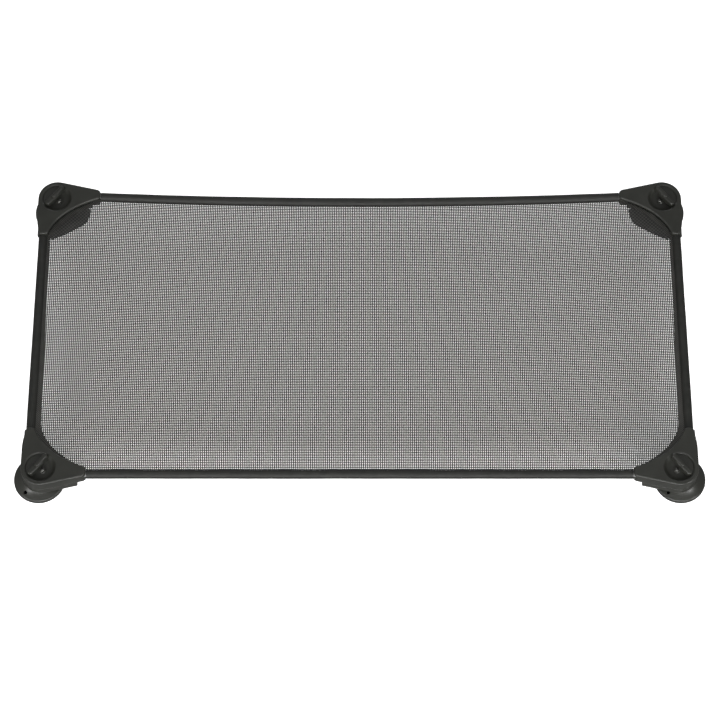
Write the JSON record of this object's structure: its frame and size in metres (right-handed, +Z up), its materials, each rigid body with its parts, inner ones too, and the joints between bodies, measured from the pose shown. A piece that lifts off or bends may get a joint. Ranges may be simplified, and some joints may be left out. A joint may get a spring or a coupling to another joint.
{
  "type": "raised dog bed",
  "caption": "Low raised dog bed: a mesh sling in a tube frame, with moulded corners, bell feet and stacking fins.",
  "frame": {"origin": "on the floor under the middle of the bed", "axes": "+X along the bed, to the right seen from the front; +Y to the back; +Z up"},
  "size_m": [1.317, 0.68, 0.07],
  "materials": {
    "moulded_plastic": "satin moulded plastic, dark warm grey",
    "painted_tube": "satin painted steel, dark grey",
    "coated_sleeve": "smooth coated fabric, dark grey",
    "mesh_fabric": "open weave of dark coated yarn, mid grey over a pale floor",
    "foot_rubber": "matt rubber, near black",
    "zinc_screw": "zinc plated"
  },
  "bodies": {
    "root": {"corner_cap_front_left": "moulded_plastic", "leg_front_left": "moulded_plastic", "foot_ring_front_left": "foot_rubber", "cap_screw_front_left": "zinc_screw", "long_tube_screw_front_left": "zinc_screw", "short_tube_screw_front_left": "zinc_screw", "corner_cap_front_right": "moulded_plastic", "leg_front_right": "moulded_plastic", "foot_ring_front_right": "foot_rubber", "cap_screw_front_right": "zinc_screw", "long_tube_screw_front_right": "zinc_screw", "short_tube_screw_front_right": "zinc_screw", "corner_cap_back_left": "moulded_plastic", "leg_back_left": "moulded_plastic", "foot_ring_back_left": "foot_rubber", "cap_screw_back_left": "zinc_screw", "long_tube_screw_back_left": "zinc_screw", "short_tube_screw_back_left": "zinc_screw", "corner_cap_back_right": "moulded_plastic", "leg_back_right": "moulded_plastic", "foot_ring_back_right": "foot_rubber", "cap_screw_back_right": "zinc_screw", "long_tube_screw_back_right": "zinc_screw", "short_tube_screw_back_right": "zinc_screw", "front_tube": "painted_tube", "front_sleeve": "coated_sleeve", "back_tube": "painted_tube", "back_sleeve": "coated_sleeve", "left_tube": "painted_tube", "left_sleeve": "coated_sleeve", "right_tube": "painted_tube", "right_sleeve": "coated_sleeve", "mesh_sling": "mesh_fabric"}
  },
  "joints": []
}
